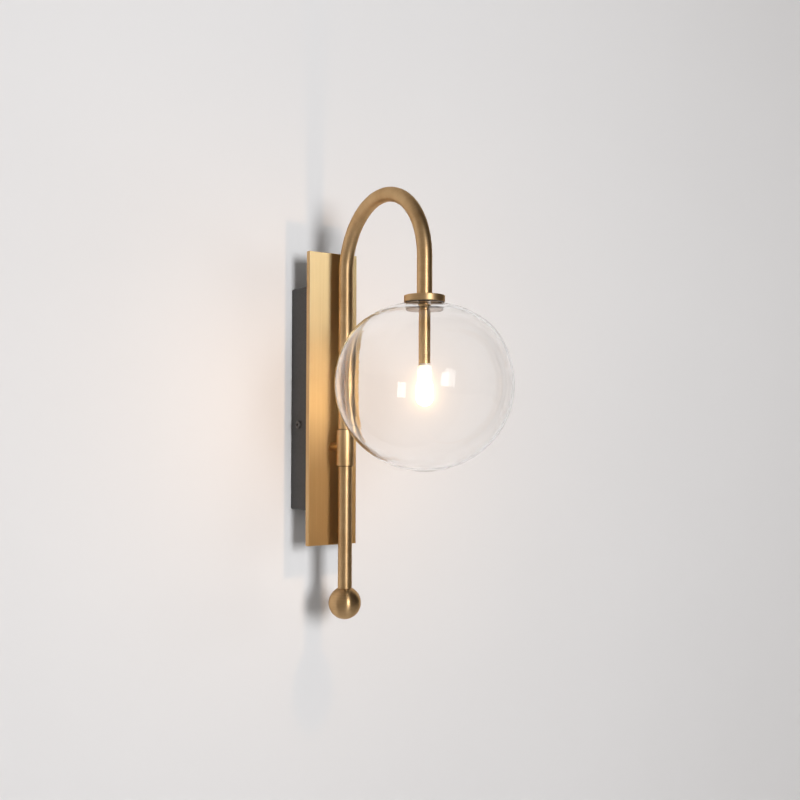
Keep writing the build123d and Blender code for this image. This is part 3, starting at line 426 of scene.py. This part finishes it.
# The wall stands just behind the mount face. Behind the box it is open, so that the box is lit inside from the back.
WALL_Y, WALL_X, LOW, TOP, HX, HZ = 0.0006, 4.0, -1.25, 2.6, 0.0235, 0.1045
corners = [
    (-WALL_X, WALL_Y, LOW), (WALL_X, WALL_Y, LOW), (WALL_X, WALL_Y, TOP), (-WALL_X, WALL_Y, TOP),
    (-HX, WALL_Y, -HZ), (HX, WALL_Y, -HZ), (HX, WALL_Y, HZ), (-HX, WALL_Y, HZ),
]
wall = flat("wall", corners, [(0, 1, 5, 4), (1, 2, 6, 5), (2, 3, 7, 6), (3, 0, 4, 7)], wall_paint)
floor = flat("floor", [(-5, -5, LOW), (5, -5, LOW), (5, 4, LOW), (-5, 4, LOW)], [(0, 1, 2, 3)], floor_paint)


# ---------------------------------------------------------------- light
def toward(azimuth, elevation, distance):
    a, e = math.radians(azimuth), math.radians(elevation)
    return LAMP + distance * Vector((math.sin(a) * math.cos(e), -math.cos(a) * math.cos(e), math.sin(e)))


def soft_box(name, place, aim, width, height, power, colour, roll=0.0, through=False, mirrored=True):
    data = bpy.data.lights.new(name, "AREA")
    data.shape, data.size, data.size_y = "RECTANGLE", width, height
    data.energy, data.color = power, colour
    obj = bpy.data.objects.new(name, data)
    look = (Vector(aim) - Vector(place)).to_track_quat("-Z", "Y").to_matrix()
    obj.matrix_world = Matrix.Translation(place) @ look.to_4x4() @ Matrix.Rotation(math.radians(roll), 4, "Z")
    obj.visible_camera = False
    obj.visible_transmission = through
    obj.visible_glossy = mirrored
    scene.collection.objects.link(obj)
    return obj


key = soft_box("key", toward(-5.4, 5.0, 2.2), LAMP + Vector((-0.45, 0.0, 0.20)), 0.46, 0.78, 26.5, (0.975, 0.985, 1.0), -6.0)
key.data.spread = math.radians(150)
glint = soft_box("glint", toward(-11.4, 3.6, 2.2), LAMP, 0.36, 0.62, 15.0, (1.0, 1.0, 1.0), -6.0)
inner = soft_box("inner", toward(-3.6, 5.0, 2.2), LAMP, 0.48, 0.82, 14.0, (1.0, 1.0, 1.0), -6.0, True, False)
inner.visible_diffuse = False
inner.data.use_nodes = True
it = inner.data.node_tree
i_path = it.nodes.new("ShaderNodeLightPath")
i_once = it.nodes.new("ShaderNodeMath")
i_once.operation = "MINIMUM"
i_once.inputs[1].default_value = 1.0
it.links.new(i_path.outputs["Glossy Depth"], i_once.inputs[0])
it.links.new(i_once.outputs[0], it.nodes["Emission"].inputs["Strength"])
sheen = soft_box("sheen", toward(-5.4, 5.0, 2.2), LAMP, 0.46, 0.78, 22.5, (0.975, 0.985, 1.0), -6.0)
stem = soft_box("stem", toward(-5.4, 5.0, 2.2), LAMP, 0.46, 0.78, 13.0, (1.0, 1.0, 1.0), -6.0)
high = soft_box("high", toward(-5.4, 17.0, 2.2), Vector((0, 0, 0.1)), 0.46, 0.80, 36.0, (0.54, 0.73, 1.0), -6.0)
low = soft_box("low", toward(-5.4, -2.0, 2.2), Vector((0, 0, 0)), 0.46, 0.80, 7.6, (1.0, 0.92, 0.82), -6.0)

soft_box("side_strip", toward(33.5, 11.0, 2.0), LAMP, 0.06, 1.2, 0.22, (1.0, 0.98, 0.97))
soft_box("right_fill", toward(60.0, 5.0, 4.0), LAMP, 2.0, 2.0, 30.0, (1.0, 0.97, 0.94), mirrored=False)
soft_box("behind", Vector((-0.35, 0.95, 0.55)), Vector((0, 0, 0)), 0.9, 0.9, 9.0, (1.0, 0.99, 0.98))


def bulb_lamp(name, power, colour, radius):
    data = bpy.data.lights.new(name, "POINT")
    data.energy, data.color, data.shadow_soft_size = power, colour, radius
    obj = bpy.data.objects.new(name, data)
    obj.location = (0.0, -0.1845, -0.001)
    obj.visible_camera = obj.visible_transmission = False
    scene.collection.objects.link(obj)
    obj.parent = frame["bodies"]["bulb"]
    return obj


bulb_lamp("bulb_light", 0.54, (1.0, 0.60, 0.30), 0.006).visible_glossy = False
gleam = bulb_lamp("bulb_gleam", 0.060, (1.0, 0.76, 0.12), 0.010)
gleam.visible_diffuse = False

# The flat plate, the glass globe, the stem and the round brass take the light of the studio box from boxes of their own.
tubes = ("hook_tube", "lower_rod", "pivot_collar", "finial_ball", "globe_cap")
linking = (
    ("key_parts", key, "EXCLUDE", ("backplate", "glass_globe", "lamp_stem") + tubes),
    ("tube_parts", sheen, "INCLUDE", tubes),
    ("stem_parts", stem, "INCLUDE", ("lamp_stem",)),
    ("high_parts", high, "INCLUDE", ("backplate",)),
    ("low_parts", low, "INCLUDE", ("backplate",)),
    ("gleam_parts", gleam, "INCLUDE", ("backplate",)),
    ("glint_parts", glint, "INCLUDE", ("glass_globe",)),
)
for name, light, state, parts in linking:
    group = bpy.data.collections.new(name)
    for i, part in enumerate(parts):
        group.objects.link(nodes[part])
        group.collection_objects[i].light_linking.link_state = state
    light.light_linking.receiver_collection = group

world = bpy.data.worlds.new("room")
scene.world = world
world.use_nodes = True
wt = world.node_tree
wt.nodes.clear()
w_out = wt.nodes.new("ShaderNodeOutputWorld")
w_dim = wt.nodes.new("ShaderNodeBackground")
w_dim.inputs["Color"].default_value = (1.0, 0.93, 0.86, 1.0)
w_coord = wt.nodes.new("ShaderNodeTexCoord")
w_xyz = wt.nodes.new("ShaderNodeSeparateXYZ")
w_side = wt.nodes.new("ShaderNodeMapRange")
w_side.interpolation_type = "SMOOTHSTEP"
for i, v in enumerate((-0.95, 0.30, 0.42, 0.03)):
    w_side.inputs[1 + i].default_value = v
wt.links.new(w_coord.outputs["Generated"], w_xyz.inputs[0])
wt.links.new(w_xyz.outputs[0], w_side.inputs[0])
wt.links.new(w_side.outputs[0], w_dim.inputs["Strength"])
w_pale = wt.nodes.new("ShaderNodeBackground")
w_pale.inputs["Color"].default_value = (0.78, 0.75, 0.72, 1.0)
w_pale.inputs["Strength"].default_value = 1.0
w_path = wt.nodes.new("ShaderNodeLightPath")
w_once = wt.nodes.new("ShaderNodeMath")
w_once.operation = "ADD"
w_seen = wt.nodes.new("ShaderNodeMath")
w_seen.operation, w_seen.use_clamp = "SUBTRACT", True
w_any = wt.nodes.new("ShaderNodeMath")
w_any.operation = "MAXIMUM"
w_mix = wt.nodes.new("ShaderNodeMixShader")
wt.links.new(w_path.outputs["Is Camera Ray"], w_any.inputs[0])
wt.links.new(w_path.outputs["Glossy Depth"], w_once.inputs[0])
wt.links.new(w_path.outputs["Diffuse Depth"], w_once.inputs[1])
wt.links.new(w_path.outputs["Is Transmission Ray"], w_seen.inputs[0])
wt.links.new(w_once.outputs[0], w_seen.inputs[1])
wt.links.new(w_seen.outputs[0], w_any.inputs[1])
wt.links.new(w_any.outputs[0], w_mix.inputs[0])
wt.links.new(w_dim.outputs[0], w_mix.inputs[1])
wt.links.new(w_pale.outputs[0], w_mix.inputs[2])
wt.links.new(w_mix.outputs[0], w_out.inputs["Surface"])

# ---------------------------------------------------------------- camera
yaw, pitch, roll = math.radians(34.415), math.radians(2.119), math.radians(0.103)
ahead = Vector((math.sin(yaw) * math.cos(pitch), math.cos(yaw) * math.cos(pitch), math.sin(pitch)))
right = Vector((math.cos(yaw), -math.sin(yaw), 0.0))
up = right.cross(ahead)
r2 = right * math.cos(roll) + up * math.sin(roll)
u2 = up * math.cos(roll) - right * math.sin(roll)
cam_data = bpy.data.cameras.new("camera")
cam_data.sensor_width, cam_data.lens = 36.0, 47.456
cam_data.clip_start, cam_data.clip_end = 0.01, 50.0
cam = bpy.data.objects.new("camera", cam_data)
turn = Matrix((r2, u2, -ahead)).transposed()
cam.matrix_world = Matrix.Translation((-0.51345, -0.89790, -0.03851)) @ turn.to_4x4()
scene.collection.objects.link(cam)
scene.camera = cam

# ---------------------------------------------------------------- picture settings
scene.view_settings.view_transform = "Standard"
scene.view_settings.look = "None"
scene.view_settings.exposure = 0.0
scene.view_settings.gamma = 1.0
c = scene.cycles
c.max_bounces, c.diffuse_bounces, c.glossy_bounces = 24, 5, 8
c.transmission_bounces, c.transparent_max_bounces = 24, 24
c.caustics_reflective = c.caustics_refractive = False
c.sample_clamp_indirect = 12.0
c.use_denoising = True

# The soft glow that a lit bulb leaves round itself in a photograph.
scene.use_nodes = True
ct = scene.node_tree
ct.nodes.clear()
layers = ct.nodes.new("CompositorNodeRLayers")
image = layers.outputs["Image"]
for strength, size, tint in ((0.28, 0.32, (1.0, 0.90, 0.80, 1.0)), (0.78, 0.80, (1.0, 0.62, 0.26, 1.0))):
    glow = ct.nodes.new("CompositorNodeGlare")
    glow.glare_type, glow.quality = "BLOOM", "HIGH"
    for name, value in (("Threshold", 1.3), ("Strength", strength), ("Size", size), ("Saturation", 1.0), ("Tint", tint)):
        glow.inputs[name].default_value = value
    ct.links.new(image, glow.inputs["Image"])
    image = glow.outputs["Image"]
done = ct.nodes.new("CompositorNodeComposite")
ct.links.new(image, done.inputs["Image"])
